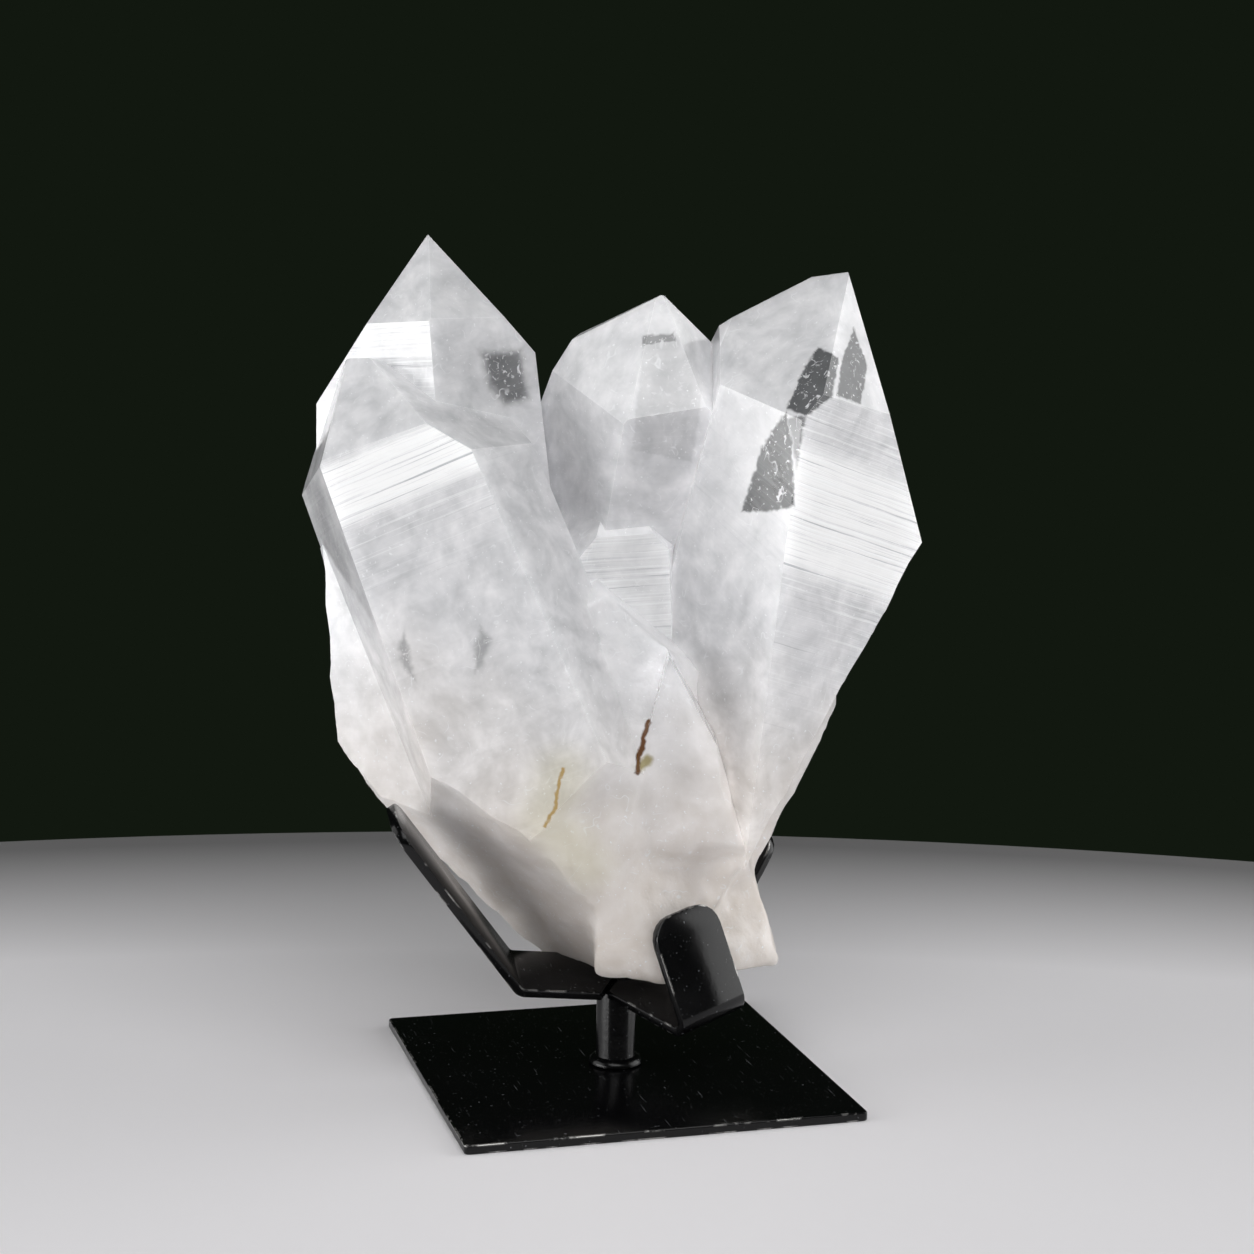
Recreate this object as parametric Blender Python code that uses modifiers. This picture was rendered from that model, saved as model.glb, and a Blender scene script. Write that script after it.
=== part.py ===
"""A lemurian quartz cluster resting in a black steel display stand.

Metres, +Z up. The origin is the centre of the base plate's underside, and the plate's sides lie along X and Y.
The stone and its cradle are laid out seen from their front: X to the right, Y away from the viewer. CLUSTER_TURN
then turns them about the post, because the square plate stands a little askew under them.
Sizes are millimetres, angles are degrees, and MM turns a size to metres.
"""

import math

import bmesh
import bpy
from mathutils import Matrix, Vector, noise

MM = 0.001
CLUSTER_TURN = -16.0
CONTACT_GAP = 0.3

PLATE_SIDE = 127.0
PLATE_THICKNESS = 3.0
PLATE_CORNER_RADIUS = 1.6
PLATE_EDGE_ROUNDING = 0.35

POST_RADIUS = 6.35
POST_TOP = 31.0
WELD_RADIUS = 8.7
WELD_HEIGHT = 2.6

STRAP_WIDTH = 25.4
STRAP_THICKNESS = 3.0
STRAP_BEND_RADIUS = 2.2
STRAP_TIP_RADIUS = 8.0
HUB_HEIGHT = 31.6

# Each strap's foot leaves the post at a heading (0 is the viewer's right, 90 is away) and a slope, rolled about its own
# length and set aside from the post's middle. After reach millimetres it folds up, and bend is the angle between the
# foot and the upright, inside the fold.
STRAPS = {
    "front_strap": {
        "heading": -50.5, "slope": -6.5, "roll": 10.6, "aside": 4.3, "reach": 44.6, "bend": 65.5, "upright": 37.0,
    },
    "left_strap": {
        "heading": 194.0, "slope": 5.5, "roll": -14.0, "aside": 0.0, "reach": 34.0, "bend": 131.0, "upright": 71.0,
    },
    "rear_strap": {
        "heading": 40.0, "slope": 2.0, "roll": 0.0, "aside": 0.0, "reach": 30.0, "bend": 128.0, "upright": 50.0,
    },
}

# Quartz grows as six prism faces along its axis, closed by six tip faces. A face is (heading, pitch, reach): heading 0
# faces the viewer and 90 the right, pitch 0 is square to the axis and 38 is a tip face's natural pitch, and reach is
# its distance in millimetres from the crystal's heart.
LEFT_FRONT_CRYSTAL = {
    "heart": (-54.5, -4.0, 151.5), "lean_right": -23.0, "lean_front": -6.5,
    "prism": [(-9.5, -0.5, 25), (54, 1, 41.5), (-69, 2, 26.5), (-142, 2.5, 33.5), (194, -6.5, 19), (115.5, 0.5, 37)],
    "tip": [(-7, 36, 53.5), (59.5, 36.5, 57), (-72, 37.5, 52.5), (-124.5, 38, 61), (175, 38, 60), (113.5, 61.5, 74)],
}
LEFT_BACK_CRYSTAL = {
    "heart": (-64.0, 29.0, 215.5), "lean_right": -4.0, "lean_front": -1.0,
    "prism": [(-90, 4.0, 34.5), (-30, 2.5, 31), (29.5, 3.5, 36.5), (96.5, 3.0, 34.5), (150, 3.0, 34.5), (210, 3.0, 33)],
    "tip": [(-87.5, 37, 29), (-29.5, 37.5, 39.5), (30.5, 38.5, 43.5), (97, 38.5, 35), (150, 38, 42), (210, 38, 42)],
}
MIDDLE_CRYSTAL = {
    "heart": (5.0, 16.0, 208.0), "lean_right": 1.0, "lean_front": 22.0,
    "prism": [(-53.5, 6.5, 27), (11.5, -0.5, 33), (66, 0, 32), (125, 0, 30), (185, 0, 30), (240.5, 20, 29)],
    "tip": [(-51, 36.5, 32), (6, 40, 39), (67, 38.5, 37.5), (127.5, 40.5, 32), (188, 40.5, 25.5), (248, 55.5, 37)],
}
RIGHT_CRYSTAL = {
    "heart": (52.0, 0.0, 203.5), "lean_right": 11.0, "lean_front": 11.0,
    "prism": [(-80, 1.0, 30), (-43.5, -1.5, 31.5), (36, 6.0, 35), (94, 28, 31.5), (160, 0, 34), (220, 0, 34)],
    "tip": [(-43.5, 40, 37.5), (43, 37, 40.5), (82, 32, 36), (176, 38, 34), (220, 38, 37), (-58, 35, 39.5)],
}
STUB_CRYSTAL = {
    "heart": (0.0, 4.0, 152.0), "lean_right": -3.0, "lean_front": 4.0,
    "prism": [(8, 0, 13), (-50, 0, 24), (72, 0, 18), (130, 0, 24), (190, 0, 22), (250, 0, 26)],
    "tip": [(8, 38, 26), (68, 38, 27), (-52, 38, 27), (130, 38, 34), (190, 38, 34), (250, 38, 34)],
}
SLAB_CRYSTAL = {
    "heart": (27.0, -12.0, 92.0), "lean_right": -16.0, "lean_front": 3.0,
    "prism": [(-10, 0, 17), (90, 0, 9), (-72, 0, 22), (150, 0, 24), (200, 0, 24)],
    "tip": [(90, 13, 13.7), (-90, 30, 24.7), (180, 50, 40)],
}
# The root of the cluster is broken rock crystal with no faces of its own: lumps whose every side is a break.
FRONT_LUMP = {
    "heart": (-8.0, 0.0, 92.0), "lean_right": 0.0, "lean_front": 0.0,
    "prism": [(14, -17, 37), (50, -5, 31), (-50, 0, 42), (120, 0, 24), (180, 0, 40), (-120, 0, 45)],
    "tip": [(0, 13, 33.5), (80.5, 49, 55.5), (-50, 45, 56), (180, 50, 66)],
}
RIGHT_LUMP = {
    "heart": (20.0, 12.0, 88.0), "lean_right": 20.0, "lean_front": 0.0,
    "prism": [(0, -12, 12), (60, 0, 33), (120, 0, 34), (180, 0, 30), (-120, 0, 36), (-60, 0, 34)],
    "tip": [(80, 55, 62), (170, 50, 60), (-30, 50, 44)],
}
FOOT_LUMP = {
    "heart": (36.0, -8.0, 52.0), "lean_right": 0.0, "lean_front": 0.0,
    "prism": [(35, 17.6, 5.4), (-10, -8, 28), (90, 18, 12.5), (-88, 0, 44), (170, 0, 20)],
    "tip": [(0, 80, 24), (0, -90, 14.5)],
}
# Planes on which the whole cluster was broken from its vein, as faces about BREAK_CENTRE.
BREAK_CENTRE = (0.0, 0.0, 130.0)
BREAKS = [
    (-38.5, -37.5, 64.0), (-63.5, -30.5, 80.5), (-28.5, -67.0, 90.5), (87.0, -27.0, 67.5),
    (140.0, -30.0, 74.0), (180.0, -35.0, 62.0), (-130.0, -35.0, 76.0), (0.0, -90.0, 96.3),
]
# Breaks through one crystal alone, about the same centre.
LEFT_FRONT_CRYSTAL_BREAK = (30.0, -30.0, 39.2)
RIGHT_CRYSTAL_BREAK = (85.0, -27.5, 62.5)
LEFT_BACK_CRYSTAL_BREAK = (-90.0, -5.0, 93.9)
SLAB_CRYSTAL_BREAK = (1.5, -53.0, 57.0)
BLANK_SIZE = 420.0

BREAK_FACET = 8.0
SPLIT_PASSES = 5
BREAK_RELIEF = 1.3
BREAK_RELIEF_SCALE = 13.0
GROWN = 0
BROKEN = 1


def radians(degrees):
    return math.radians(degrees)


def new_collection(name, hidden=False):
    collection = bpy.data.collections.new(name)
    collection.hide_render = hidden
    bpy.context.scene.collection.children.link(collection)
    return collection


def new_material(name, color, roughness, metallic=0.0):
    material = bpy.data.materials.new(name)
    material.use_nodes = True
    shader = material.node_tree.nodes["Principled BSDF"]
    shader.inputs["Base Color"].default_value = (*color, 1.0)
    shader.inputs["Roughness"].default_value = roughness
    shader.inputs["Metallic"].default_value = metallic
    material.diffuse_color = (*color, 1.0)
    return material


def new_object(name, bm, collection, materials):
    """The bmesh, turned to face outwards, as an object of this name."""
    bmesh.ops.recalc_face_normals(bm, faces=bm.faces)
    mesh = bpy.data.meshes.new(name)
    bm.to_mesh(mesh)
    bm.free()
    for material in materials:
        mesh.materials.append(material)
    obj = bpy.data.objects.new(name, mesh)
    collection.objects.link(obj)
    return obj


def new_cutter(name, bm, collection, materials=()):
    """The bmesh, laid out in the stone and cradle's own frame, as a helper that is never rendered."""
    cutter = new_object(name, bm, collection, materials)
    cutter.matrix_world = cluster_to_world()
    cutter.hide_render = True
    cutter.display_type = "WIRE"
    return cutter


def add_boolean(obj, other, operation):
    modifier = obj.modifiers.new(f"{operation.lower()} {other.name}", "BOOLEAN")
    modifier.operation = operation
    modifier.solver = "EXACT"
    modifier.object = other


def cluster_to_world():
    """The place of the stone and cradle's own frame over the plate."""
    return Matrix.Rotation(radians(CLUSTER_TURN), 4, "Z") @ Matrix.Scale(MM, 4)


def crystal_axis(crystal):
    """The unit vector along a crystal, towards its tip."""
    right, front = radians(crystal["lean_right"]), radians(crystal["lean_front"])
    return Vector((math.sin(right) * math.cos(front), -math.sin(front), math.cos(right) * math.cos(front)))


def face_normal(axis, heading, pitch):
    """The outward normal of a face at this heading about the axis, raised by pitch towards the tip."""
    to_viewer = Vector((0.0, -1.0, 0.0))
    front = (to_viewer - to_viewer.dot(axis) * axis).normalized()
    side = axis.cross(front)
    turned = math.cos(radians(heading)) * front + math.sin(radians(heading)) * side
    return math.cos(radians(pitch)) * turned + math.sin(radians(pitch)) * axis


def cut_face(bm, point, normal, kind):
    """Takes away what lies beyond the plane, and closes the cut with one face of this kind."""
    everything = bm.verts[:] + bm.edges[:] + bm.faces[:]
    cut = bmesh.ops.bisect_plane(bm, geom=everything, plane_co=point, plane_no=normal, clear_outer=True)
    edges = [part for part in cut["geom_cut"] if isinstance(part, bmesh.types.BMEdge)]
    for face in bmesh.ops.edgeloop_fill(bm, edges=edges)["faces"]:
        face.material_index = kind


def crystal_solid(crystal, kind=GROWN, breaks=()):
    """A blank cut to the crystal's faces, and to any break through this crystal alone."""
    bm = bmesh.new()
    heart = Vector(crystal["heart"])
    bmesh.ops.create_cube(bm, size=BLANK_SIZE, matrix=Matrix.Translation(heart))
    axis = crystal_axis(crystal)
    for heading, pitch, reach in crystal["prism"] + crystal["tip"]:
        normal = face_normal(axis, heading, pitch)
        cut_face(bm, heart + normal * reach, normal, kind)
    for heading, pitch, reach in breaks:
        normal = face_normal(Vector((0.0, 0.0, 1.0)), heading, pitch)
        cut_face(bm, Vector(BREAK_CENTRE) + normal * reach, normal, BROKEN)
    return bm


def applied_mesh(obj):
    """The object's mesh with its modifiers worked in."""
    graph = bpy.context.evaluated_depsgraph_get()
    graph.update()
    return bpy.data.meshes.new_from_object(obj.evaluated_get(graph))


def split_broken_faces(bm):
    """Divides the broken faces into triangles with edges of about BREAK_FACET."""
    for _ in range(SPLIT_PASSES):
        bmesh.ops.triangulate(bm, faces=[face for face in bm.faces if face.material_index == BROKEN])
        long_edges = [
            edge
            for edge in bm.edges
            if edge.calc_length() > BREAK_FACET and any(face.material_index == BROKEN for face in edge.link_faces)
        ]
        bmesh.ops.subdivide_edges(bm, edges=long_edges, cuts=1)
    bmesh.ops.triangulate(bm, faces=bm.faces)


def break_relief(point):
    """How far a broken surface lies under its plane at this point: shelly hollows with sharp crests between."""
    broad = 0.5 + noise.noise(point / BREAK_RELIEF_SCALE)
    fine = abs(noise.noise(point / BREAK_RELIEF_SCALE * 2.7))
    return -BREAK_RELIEF * max(0.0, 1.3 * broad + 1.2 * fine)


def roughen_breaks(bm):
    """Gives the broken faces relief. A point on a grown face's edge slides along that face and keeps it flat."""
    split_broken_faces(bm)
    bm.normal_update()
    moves = {}
    for vert in bm.verts:
        broken = [face for face in vert.link_faces if face.material_index == BROKEN]
        if not broken:
            continue
        move = sum((face.normal for face in broken), Vector()).normalized() * break_relief(vert.co)
        flats = []
        for face in vert.link_faces:
            if face.material_index == GROWN:
                normal = face.normal.copy()
                for flat in flats:
                    normal -= normal.dot(flat) * flat
                if normal.length > 0.1:
                    flats.append(normal.normalized())
        for flat in flats:
            move -= move.dot(flat) * flat
        moves[vert] = move
    for vert, move in moves.items():
        vert.co += move


def strap_solid(strap, grow=0.0):
    """A flat strap, folded up at its end, in the cradle's frame. grow thickens it all over, for a cutter."""
    bm = bmesh.new()
    width, thickness = STRAP_WIDTH + 2 * grow, STRAP_THICKNESS + 2 * grow
    bmesh.ops.create_grid(bm, x_segments=1, y_segments=1, size=0.5)
    bmesh.ops.scale(bm, vec=(thickness, width, 1.0), verts=bm.verts)
    bmesh.ops.rotate(bm, matrix=Matrix.Rotation(radians(90), 3, "Y"), verts=bm.verts)
    turn = 180.0 - strap["bend"]
    radius = STRAP_BEND_RADIUS + STRAP_THICKNESS / 2
    tangent = radius * math.tan(radians(turn / 2))
    section = bm.faces[:]

    def push(faces, offset):
        grown = bmesh.ops.extrude_face_region(bm, geom=faces)["geom"]
        bmesh.ops.delete(bm, geom=faces, context="FACES_ONLY")
        points = [part for part in grown if isinstance(part, bmesh.types.BMVert)]
        bmesh.ops.translate(bm, vec=offset, verts=points)
        return [part for part in grown if isinstance(part, bmesh.types.BMFace)]

    cap = bmesh.ops.duplicate(bm, geom=section)["geom"]
    end = push(section, (strap["reach"] - tangent, 0.0, 0.0))
    spun = bmesh.ops.spin(
        bm, geom=end, cent=(strap["reach"] - tangent, 0.0, radius), axis=(0.0, -1.0, 0.0), angle=radians(turn), steps=6
    )["geom_last"]
    bmesh.ops.delete(bm, geom=end, context="FACES_ONLY")
    end = [part for part in spun if isinstance(part, bmesh.types.BMFace)]
    upright = Vector((math.cos(radians(turn)), 0.0, math.sin(radians(turn))))
    end = push(end, upright * (strap["upright"] - tangent + grow))
    bmesh.ops.remove_doubles(bm, verts=bm.verts, dist=0.001)
    corners = [
        edge
        for edge in end[0].edges
        if abs((edge.verts[0].co - edge.verts[1].co).y) < 0.1
    ]
    bmesh.ops.bevel(
        bm, geom=corners, offset=STRAP_TIP_RADIUS, segments=5, profile=0.5, affect="EDGES", material=-1
    )
    bmesh.ops.remove_doubles(bm, verts=bm.verts, dist=0.001)
    place = (
        Matrix.Translation((0.0, 0.0, HUB_HEIGHT))
        @ Matrix.Rotation(radians(strap["heading"]), 4, "Z")
        @ Matrix.Translation((0.0, strap["aside"], 0.0))
        @ Matrix.Rotation(radians(-strap["slope"]), 4, "Y")
        @ Matrix.Rotation(radians(strap["roll"]), 4, "X")
    )
    bmesh.ops.transform(bm, matrix=place, verts=bm.verts)
    return bm


def mitre_strap(bm, heading, left_heading, right_heading):
    """Cuts the strap's foot where it meets its neighbours at the hub, halfway between their headings."""
    for other, side in ((left_heading, 1.0), (right_heading, -1.0)):
        apart = (side * (other - heading)) % 360.0
        seam = radians(heading + side * apart / 2)
        normal = Vector((-math.sin(seam), math.cos(seam), 0.0)) * side
        cut_face(bm, normal * -CONTACT_GAP / 2, normal, GROWN)


def make_straps(collection, cutters, steel):
    """The three straps, and a slightly larger cutter for each that keeps the post and the stone off it."""
    order = sorted(STRAPS, key=lambda name: STRAPS[name]["heading"])
    clearances = []
    for place, name in enumerate(order):
        strap = STRAPS[name]
        left = STRAPS[order[(place + 1) % len(order)]]["heading"]
        right = STRAPS[order[place - 1]]["heading"]
        bm = strap_solid(strap)
        mitre_strap(bm, strap["heading"], left, right)
        bm.transform(cluster_to_world())
        new_object(name, bm, collection, [steel])
        clearances.append(new_cutter(f"{name}_clearance", strap_solid(strap, CONTACT_GAP), cutters))
    return clearances


def make_base_plate(collection, steel):
    bm = bmesh.new()
    bmesh.ops.create_cube(bm, size=1.0)
    bmesh.ops.scale(bm, vec=(PLATE_SIDE, PLATE_SIDE, PLATE_THICKNESS), verts=bm.verts)
    bmesh.ops.translate(bm, vec=(0.0, 0.0, PLATE_THICKNESS / 2), verts=bm.verts)
    upright = [edge for edge in bm.edges if abs((edge.verts[0].co - edge.verts[1].co).z) > 1.0]
    bmesh.ops.bevel(
        bm, geom=upright, offset=PLATE_CORNER_RADIUS, segments=3, profile=0.5, affect="EDGES", material=-1
    )
    rims = [edge for edge in bm.edges if len(edge.link_faces) == 2 and edge.calc_face_angle() > radians(60)]
    bmesh.ops.bevel(
        bm, geom=rims, offset=PLATE_EDGE_ROUNDING, segments=1, profile=0.5, affect="EDGES", material=-1
    )
    bm.transform(Matrix.Scale(MM, 4))
    return new_object("base_plate", bm, collection, [steel])


def make_post(collection, steel, clearances):
    """A round post with its weld bead, turned from one profile, its top shaped to the straps that sit on it."""
    foot = PLATE_THICKNESS + CONTACT_GAP
    bead = [(WELD_RADIUS, foot + 0.4)]
    for step in range(1, 5):
        angle = radians(90 * step / 4)
        bead.append(
            (
                POST_RADIUS + (WELD_RADIUS - POST_RADIUS) * math.cos(angle),
                foot + 0.4 + (WELD_HEIGHT - 0.4) * math.sin(angle),
            )
        )
    profile = [(0.0, POST_TOP), (POST_RADIUS, POST_TOP)] + bead[::-1] + [(WELD_RADIUS - 0.4, foot), (0.0, foot)]
    bm = bmesh.new()
    verts = [bm.verts.new((radius * MM, 0.0, height * MM)) for radius, height in profile]
    for start, end in zip(verts, verts[1:]):
        bm.edges.new((start, end))
    mesh = bpy.data.meshes.new("post")
    bm.to_mesh(mesh)
    bm.free()
    mesh.materials.append(steel)
    post = bpy.data.objects.new("post", mesh)
    collection.objects.link(post)
    screw = post.modifiers.new("turn", "SCREW")
    screw.steps = screw.render_steps = 40
    screw.use_merge_vertices = True
    screw.merge_threshold = 0.00005
    screw.use_smooth_shade = False
    for clearance in clearances:
        add_boolean(post, clearance, "DIFFERENCE")
    return post


def make_quartz(collection, cutters, clearances, materials):
    """The cluster as one stone: its crystals and lumps joined, clear of the straps, its breaks roughened."""
    first = crystal_solid(LEFT_FRONT_CRYSTAL, breaks=[LEFT_FRONT_CRYSTAL_BREAK])
    joined = new_cutter("left_front_crystal", first, cutters, materials)
    pieces = {
        "left_back_crystal": crystal_solid(LEFT_BACK_CRYSTAL, breaks=[LEFT_BACK_CRYSTAL_BREAK]),
        "middle_crystal": crystal_solid(MIDDLE_CRYSTAL),
        "right_crystal": crystal_solid(RIGHT_CRYSTAL, breaks=[RIGHT_CRYSTAL_BREAK]),
        "stub_crystal": crystal_solid(STUB_CRYSTAL),
        "slab_crystal": crystal_solid(SLAB_CRYSTAL, breaks=[SLAB_CRYSTAL_BREAK]),
        "front_lump": crystal_solid(FRONT_LUMP, BROKEN),
        "right_lump": crystal_solid(RIGHT_LUMP, BROKEN),
    }
    for name, bm in pieces.items():
        add_boolean(joined, new_cutter(name, bm, cutters, materials), "UNION")
    vein = {"heart": BREAK_CENTRE, "lean_right": 0.0, "lean_front": 0.0, "prism": [], "tip": BREAKS}
    within_breaks = new_cutter("within_breaks", crystal_solid(vein, BROKEN), cutters, materials)
    add_boolean(joined, within_breaks, "INTERSECT")
    add_boolean(joined, new_cutter("foot_lump", crystal_solid(FOOT_LUMP, BROKEN), cutters, materials), "UNION")
    for clearance in clearances:
        add_boolean(joined, clearance, "DIFFERENCE")
    bm = bmesh.new()
    bm.from_mesh(applied_mesh(joined))
    roughen_breaks(bm)
    bm.transform(cluster_to_world())
    return new_object("quartz_cluster", bm, collection, materials)


def main():
    for obj in list(bpy.data.objects):
        bpy.data.objects.remove(obj, do_unlink=True)
    collection = new_collection("lemurian_quartz_on_stand")
    cutters = new_collection("cutters", hidden=True)
    steel = new_material("black painted steel", (0.006, 0.006, 0.007), 0.32)
    quartz = new_material("grown quartz", (0.80, 0.82, 0.84), 0.12)
    broken = new_material("broken quartz", (0.80, 0.74, 0.68), 0.4)
    make_base_plate(collection, steel)
    clearances = make_straps(collection, cutters, steel)
    make_post(collection, steel, clearances)
    make_quartz(collection, cutters, clearances, [quartz, broken])


main()
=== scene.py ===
"""The looks of a lemurian quartz cluster in its black steel stand, laid over the CAD frame.

Metres in the row's frame: the origin is the centre of the plate's underside and +Z is up. Sizes named _MM are
millimetres, and angles are degrees. The stone's own frame has X to the right and Y away as the stone is seen
from its front, and CLUSTER_TURN turns it to the row's.
"""

import math

import bmesh
import bpy
from mathutils import Matrix, Vector, noise


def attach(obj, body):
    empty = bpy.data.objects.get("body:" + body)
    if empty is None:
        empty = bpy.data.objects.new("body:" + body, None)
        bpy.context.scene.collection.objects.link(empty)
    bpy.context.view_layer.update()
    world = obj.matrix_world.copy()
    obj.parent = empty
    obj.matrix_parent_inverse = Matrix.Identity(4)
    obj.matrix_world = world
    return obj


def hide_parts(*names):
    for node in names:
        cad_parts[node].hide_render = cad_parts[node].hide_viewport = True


MM = 0.001
CLUSTER_TURN = -16.0

# Each crystal's heart in millimetres, and its lean to the right and to the front, in the stone's frame.
CRYSTALS = {
    "left front": ((-54.5, -4.0, 151.5), -23.0, -6.5),
    "left back": ((-64.0, 29.0, 215.5), -4.0, -1.0),
    "middle": ((5.0, 16.0, 208.0), 1.0, 22.0),
    "right": ((52.0, 0.0, 203.5), 11.0, 11.0),
    "stub": ((0.0, 4.0, 152.0), -3.0, 4.0),
    "slab": ((27.0, -12.0, 92.0), -16.0, 3.0),
}
# How far prism and tip faces point away from a crystal's axis, and how far off that a prism face may be.
PRISM_PITCH = 90.0
TIP_PITCH = 52.0
PRISM_SPREAD = 20.0
# How much worse a face fits a crystal, in degrees, for each millimetre that it is away from the axis.
MISFIT_PER_MM = 0.15

# The stone's two materials. Its faces that are small or low in the root broke, and the others grew.
GROWN = 0
BROKEN = 1
SMALLEST_GROWN_FACE_MM2 = 45.0
ROOT_TOP_MM = 104.0
# How squarely a face looks to the front to show its growth bars in full, and how strong they are on others.
FRONT_FACE = 0.75
SIDE_BARS = 0.12
# Where the sine between a face's normal and its crystal's axis is below this, its bars may run any way.
PARALLEL = 0.05

# A CAD mesh's corners closer than this are one, and its faces within this angle are one flat face.
WELD_MM = 0.01
FLAT_WITHIN = 0.6
# How often the broken surfaces' edges are halved where they are longer than the next length, how often the
# surfaces are smoothed, and the sharpest angle that stays smooth.
BREAK_CUTS = 2
BREAK_FINENESS_MM = 2.6
BREAK_SMOOTHING = 10
BREAK_CREASE = 38.0
# Their shells' width and height, how sharp the crests are, and how much finer and lower the small shells are.
SHELL_WIDTH_MM = 7.0
SHELL_DEPTH_MM = 0.4
SHELL_CREST = 2.2
SMALL_SHELLS = 2.3
SMALL_SHELL_SHARE = 0.35
# The crystals' edges are rubbed and painted white, partly as painted highlight, and the steel's are rounded
# where they are sharper than these angles.
CRYSTAL_EDGE = 15.0
RUBBED_AND_HIGHLIT_EDGE_MM = 0.25
STEEL_EDGE = 32.0
STEEL_CREASE = 40.0
ROUNDING_MM = {"base_plate": 0.3, "front_strap": 0.45, "left_strap": 0.45, "rear_strap": 0.45, "post": 0.2}

# Clear windows into the stone, coloured dark as painted shade for the dark backdrop seen through them: the
# outline on its front as right and up, how clear and how soft-edged it is.
WINDOWS = [
    ([(57.7, 236.5), (63.8, 233.4), (61.4, 222.1), (53.8, 216.6), (47.9, 218.3), (53.7, 230.6)], 0.85, 0.5),
    ([(47.8, 217.6), (49.7, 209.3), (50.9, 189.6), (42.7, 187.1), (36.0, 186.6), (41.3, 206.3)], 1.0, 0.6),
    ([(47.9, 216.0), (53.5, 216.6), (51.3, 202.0)], 0.7, 0.8),
    ([(68.9, 242.2), (73.0, 231.2), (70.7, 219.8), (63.0, 222.4), (64.8, 233.1)], 0.8, 0.4),
    ([(-45.0, 232.3), (-33.1, 232.9), (-30.7, 218.2), (-37.8, 216.0), (-42.5, 222.0)], 0.7, 2.2),
    ([(5.2, 238.6), (15.0, 239.9), (15.3, 237.0), (5.2, 235.7)], 0.6, 0.5),
    ([(5.5, 238.6), (15.3, 240.0), (23.5, 222.0), (20.9, 200.0), (2.3, 204.0)], 0.18, 0.6),
    ([(-68.5, 143.7), (-66.3, 147.8), (-64.7, 140.7), (-62.8, 133.1), (-66.9, 136.6)], 0.4, 1.0),
    ([(-45.5, 153.0), (-39.6, 146.5), (-42.3, 138.7), (-47.8, 133.2), (-44.8, 143.2)], 0.4, 1.2),
    ([(-103.0, 190.0), (-94.8, 192.7), (-86.4, 167.9), (-78.0, 142.0), (-90.0, 150.0)], 0.25, 2.5),
]
# How much of its light a window lets through where it is clearest.
WINDOW_DEPTH = 0.6
# Fresh chips on the root's front: the outline as right and up, how white it is and how soft its edge is.
FRESH_CHIPS = [
    ([(7.0, 94.0), (12.0, 95.5), (17.5, 85.0), (15.0, 76.5), (9.5, 80.0), (6.5, 87.0)], 0.9, 1.0),
    ([(22.0, 77.0), (25.0, 78.0), (26.0, 73.5), (23.0, 72.5)], 0.9, 0.8),
]
# Each crystal's band of frost from fine growth bars, whitened partly as painted highlight where the softbox
# reflects off the prism: its middle and half width along the axis, how white it is, and how much the bars
# fall towards the right.
NO_FROST_OR_HIGHLIGHT = (200.0, 1.0, 0.0, 0.0)
FROST_AND_HIGHLIGHT_BANDS = {
    "left front": (45.0, 10.0, 1.0, 0.0),
    "left back": (21.0, 7.0, 0.45, 0.0),
    "middle": NO_FROST_OR_HIGHLIGHT,
    "right": (-12.0, 20.0, 0.9, 0.26),
    "stub": (12.0, 22.0, 0.4, 0.0),
    "slab": NO_FROST_OR_HIGHLIGHT,
}
# Growth bars are about this wide and this long, and wander by about this much.
BAR_WIDTH_MM = 1.1
BAR_LENGTH_MM = 110.0
BAR_WANDER_MM = 0.6
# White bars in the frost band, partly painted highlight, dark bars and white hairlines: the bars' noise where
# each starts and where it is full, how strong it is and its colour.
FROST_AND_HIGHLIGHT_BAR = (0.38, 0.46, 1.0, "#ffffff")
DARK_BAR = (0.36, 0.30, 0.55, "#8f949b")
HAIRLINE = (0.56, 0.64, 1.0, "#fdfeff")
# A pale stain, and iron marks in cracks: the chain of points on the front as right and up, how far from it
# the stain is full and where it ends, all in millimetres, then how strong it is and its colour.
STAIN_HAZE = ([(-17.1, 106), (-22.5, 92), (-9.9, 77)], 1, 14, 0.35, "#d5cfa4")
IRON_MARKS = [
    ([(8.8, 109.5), (6.2, 107.5)], 0.4, 2.2, 0.85, "#8d7f3a"),
    ([(-17.1, 108), (-18.9, 100), (-19.3, 96), (-22.5, 90)], 0.2, 0.9, 0.9, "#a8873c"),
    ([(8.8, 121), (7.4, 117), (7.0, 113), (6.0, 110.5), (5.4, 106)], 0.4, 1.2, 1.0, "#5d3913"),
]
# Windows and stains fade out between these depths behind the stone's middle.
FRONT_ENDS_MM = (8.0, 14.0)

QUARTZ_IOR = 1.55
# Each surface's roughness, its coat's strength and roughness, the height of its relief in millimetres, and
# how far light wanders in the milk under it, in millimetres.
GROWN_FINISH = {"rough": 0.2, "coat": 0.3, "coat rough": 0.06, "relief": 0.4, "milk": 12.0}
BROKEN_FINISH = {"rough": 0.38, "coat": 0.15, "coat rough": 0.25, "relief": 1.1, "milk": 24.0}
RELIEF_STRENGTH = 0.5

# The camera, fitted to the plate's corners.
PHOTO_PIXELS = 1254
PHOTO_FOCAL_PIXELS = 2403.57
SENSOR_MM = 36.0
CAMERA_PLACE = (-0.20581, -0.72692, 0.25536)
CAMERA_AZIMUTH = 344.067
CAMERA_ELEVATION = 8.202
CAMERA_ROLL = 0.893

TABLE_CENTRE = (-0.198, -0.700)
TABLE_RADIUS = 1.07
TABLE_THICKNESS = 0.03
# How far from under the camera the table's painted shade starts, standing in for the light's falloff, and
# where it is darkest.
TABLE_PAINTED_SHADE = (0.90, 1.08)

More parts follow.
